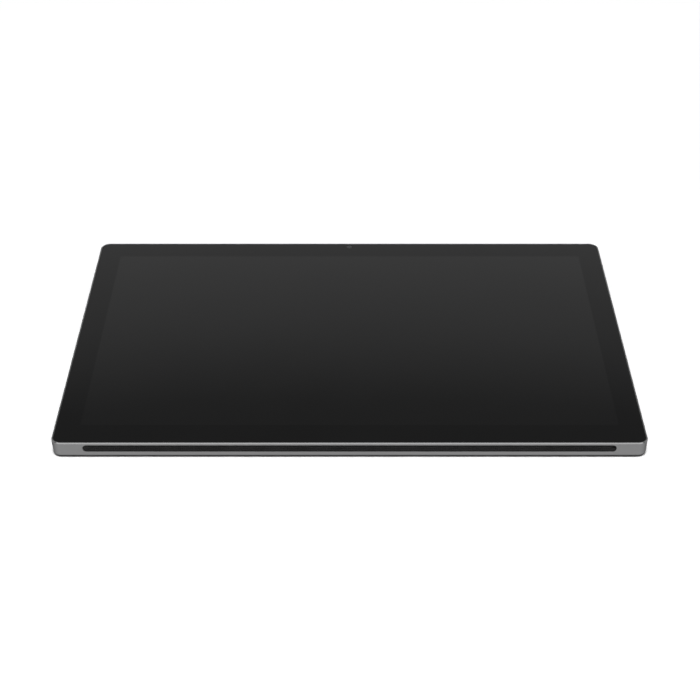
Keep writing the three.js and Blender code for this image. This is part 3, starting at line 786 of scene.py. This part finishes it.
def add_grille():
    """The pill-shaped strip in the near edge, with rows of small blind holes in its face."""
    low, high = box_mm("grille_strip")
    spot = middle("grille_strip")
    height = high.z - low.z
    thickness = high.y - low.y - LEAN * height
    pitch, radius, sides = HOLE["pitch"], HOLE["radius"], HOLE["sides"]
    columns = int((high.x - low.x - height) / pitch)
    place = facing_y(spot.x, LOW.y + edge_inset(spot.z) + STRIP_RECESS, spot.z, 1, LEAN)
    made = bmesh.new()

    def ring(points, depth):
        return [made.verts.new(place(u, v, depth)) for u, v in points]

    def skirt(lower, upper):
        for i in range(len(lower)):
            j = (i + 1) % len(lower)
            made.faces.new((lower[i], lower[j], upper[j], upper[i]))

    outline = strip_outline()
    face_ring = ring(outline(STRIP_BEVEL), 0)
    side_ring = ring(outline(0), STRIP_BEVEL)
    back_ring = ring(outline(0), thickness)
    skirt(face_ring, side_ring)
    skirt(side_ring, back_ring)
    made.faces.new(back_ring)

    half_u, half_v = columns * pitch / 2, HOLE["rows"] * pitch / 2
    grid = [
        [made.verts.new(place(c * pitch - half_u, r * pitch - half_v, 0)) for c in range(columns + 1)]
        for r in range(HOLE["rows"] + 1)
    ]
    turns = [2 * math.pi * (k + 0.5) / sides for k in range(sides)]
    for r in range(HOLE["rows"]):
        for c in range(columns):
            u, v = (c + 0.5) * pitch - half_u, (r + 0.5) * pitch - half_v
            hole = [(u + radius * math.cos(a), v + radius * math.sin(a)) for a in turns]
            rim, bottom = ring(hole, 0), ring(hole, HOLE["depth"])
            skirt(rim, bottom)
            made.faces.new(bottom)
            corners = [grid[r + 1][c + 1], grid[r + 1][c], grid[r][c], grid[r][c + 1]]
            for q in range(4):
                first, second, third = (rim[(2 * q + k) % sides] for k in range(3))
                made.faces.new((corners[q], first, second))
                made.faces.new((corners[q], second, third, corners[(q + 1) % 4]))
    outer_edges = [e for e in made.edges if e.is_boundary]
    bmesh.ops.triangle_fill(made, use_beauty=True, edges=outer_edges)
    bmesh.ops.recalc_face_normals(made, faces=made.faces)
    strip = as_object("grille_face", made, grille_black)
    complete(strip, "tablet", ["grille_strip"])


add_grille()


# ---- Floor, light and world -----------------------------------------------------------------------

FLOOR_SIZE = 40.0  # metres, like everything in this section
FLOOR_GREYS = (0.895, 0.905)  # the paint varies between these
FLOOR_DROP = 0.00005  # keeps the floor just clear of the tablet's back


def add_floor():
    made = bmesh.new()
    half = FLOOR_SIZE / 2
    corners = [(-half, -half, 0), (half, -half, 0), (half, half, 0), (-half, half, 0)]
    made.faces.new([made.verts.new(corner) for corner in corners])
    mesh = bpy.data.meshes.new("floor")
    made.to_mesh(mesh)
    made.free()
    floor = bpy.data.objects.new("floor", mesh)
    floor.location.z = -FLOOR_DROP
    floor.visible_glossy = False
    scene.collection.objects.link(floor)
    dark, light = ((grey, grey, grey) for grey in FLOOR_GREYS)
    paint = plain("floor_paint", light, 0.9)
    vary_color(paint, noise(paint, 300), dark, light)
    mesh.materials.append(paint)


BACKDROP_RADIUS = 12.0
BACKDROP_GREY = 0.92


def add_backdrop():
    """A pale dome behind everything. Only the camera sees it, so it lights nothing."""
    made = bmesh.new()
    bmesh.ops.create_uvsphere(made, u_segments=48, v_segments=24, radius=BACKDROP_RADIUS)
    mesh = bpy.data.meshes.new("backdrop")
    made.to_mesh(mesh)
    made.free()
    backdrop = bpy.data.objects.new("backdrop", mesh)
    for rays in ("diffuse", "glossy", "transmission", "volume_scatter", "shadow"):
        setattr(backdrop, f"visible_{rays}", False)
    scene.collection.objects.link(backdrop)
    glow = (BACKDROP_GREY, BACKDROP_GREY, BACKDROP_GREY, 1)
    paper = plain("backdrop_paper", (0, 0, 0), 1.0, Emission_Color=glow, Emission_Strength=1.0)
    mesh.materials.append(paper)


SUN = {"energy": 3.08, "angle": 18, "tilt": 13}  # degrees; the tilt is towards the camera


def add_sun():
    """Soft light from nearly straight above. It lights the floor and isn't seen in metal or glass."""
    data = bpy.data.lights.new("top_light", "SUN")
    data.energy = SUN["energy"]
    data.angle = math.radians(SUN["angle"])
    sun = bpy.data.objects.new("top_light", data)
    sun.rotation_euler.x = math.radians(SUN["tilt"])
    sun.visible_glossy = False
    scene.collection.objects.link(sun)


# Its elevation is in degrees.
SOFTBOX = {"length": 3.2, "width": 0.7, "energy": 4.4, "elevation": 59, "distance": 1.4}


def add_softbox():
    """The light behind the camera that the bevel round the glass reflects."""
    data = bpy.data.lights.new("softbox", "AREA")
    data.shape = "RECTANGLE"
    data.size, data.size_y = SOFTBOX["length"], SOFTBOX["width"]
    data.energy = SOFTBOX["energy"]
    softbox = bpy.data.objects.new("softbox", data)
    elevation = math.radians(SOFTBOX["elevation"])
    away = Vector((0, -math.cos(elevation), math.sin(elevation)))
    softbox.location = away * SOFTBOX["distance"]
    softbox.rotation_euler = (math.pi / 2 - elevation, 0, 0)
    softbox.visible_camera = False
    scene.collection.objects.link(softbox)


# Brightness of the surroundings by elevation, in degrees. The walls reflect what is below the horizon, and
# the glass what is above it: grey round the horizon, dark high up and straight below.
SURROUNDINGS = [
    (-90, 0.03),
    (-49, 0.05),
    (-40, 0.55),
    (-28, 0.6),
    (-10, 0.55),
    (2, 0.45),
    (15, 0.32),
    (27.5, 0.312),
    (30.3, 0.226),
    (32.8, 0.104),
    (34.5, 0.105),
    (90, 0.05),
]
AHEAD_SHARE = 0.3  # how much of that is left towards +Y, at the horizon and below it


def add_world():
    world = bpy.data.worlds.new("studio")
    world.use_nodes = True
    tree = world.node_tree

    def spread(output, low, high, to_low=0.0, to_high=1.0):
        made = tree.nodes.new("ShaderNodeMapRange")
        made.inputs["From Min"].default_value = low
        made.inputs["From Max"].default_value = high
        made.inputs["To Min"].default_value = to_low
        made.inputs["To Max"].default_value = to_high
        tree.links.new(output, made.inputs["Value"])
        return made.outputs["Result"]

    def times(first, second):
        made = tree.nodes.new("ShaderNodeMath")
        made.operation = "MULTIPLY"
        tree.links.new(first, made.inputs[0])
        tree.links.new(second, made.inputs[1])
        return made.outputs["Value"]

    place = tree.nodes.new("ShaderNodeTexCoord")
    split = tree.nodes.new("ShaderNodeSeparateXYZ")
    tree.links.new(place.outputs["Generated"], split.inputs["Vector"])
    ramp = tree.nodes.new("ShaderNodeValToRGB")
    tree.links.new(spread(split.outputs["Z"], -1, 1), ramp.inputs["Fac"])
    stops = ramp.color_ramp.elements
    for number, (elevation, grey) in enumerate(SURROUNDINGS):
        position = (math.sin(math.radians(elevation)) + 1) / 2
        if number == 0:
            stop = stops[0]
        elif number == len(SURROUNDINGS) - 1:
            stop = stops[-1]
        else:
            stop = stops.new(position)
        stop.position = position
        stop.color = (grey, grey, grey, 1)

    ahead = spread(split.outputs["Y"], -0.5, 0.4)
    low = spread(split.outputs["Z"], 0.35, 0.0)
    share = spread(times(ahead, low), 0, 1, 1, AHEAD_SHARE)
    background = tree.nodes["Background"]
    tree.links.new(ramp.outputs["Color"], background.inputs["Color"])
    tree.links.new(share, background.inputs["Strength"])
    scene.world = world


add_floor()
add_backdrop()
add_sun()
add_softbox()
add_world()
scene.view_settings.view_transform = "Standard"
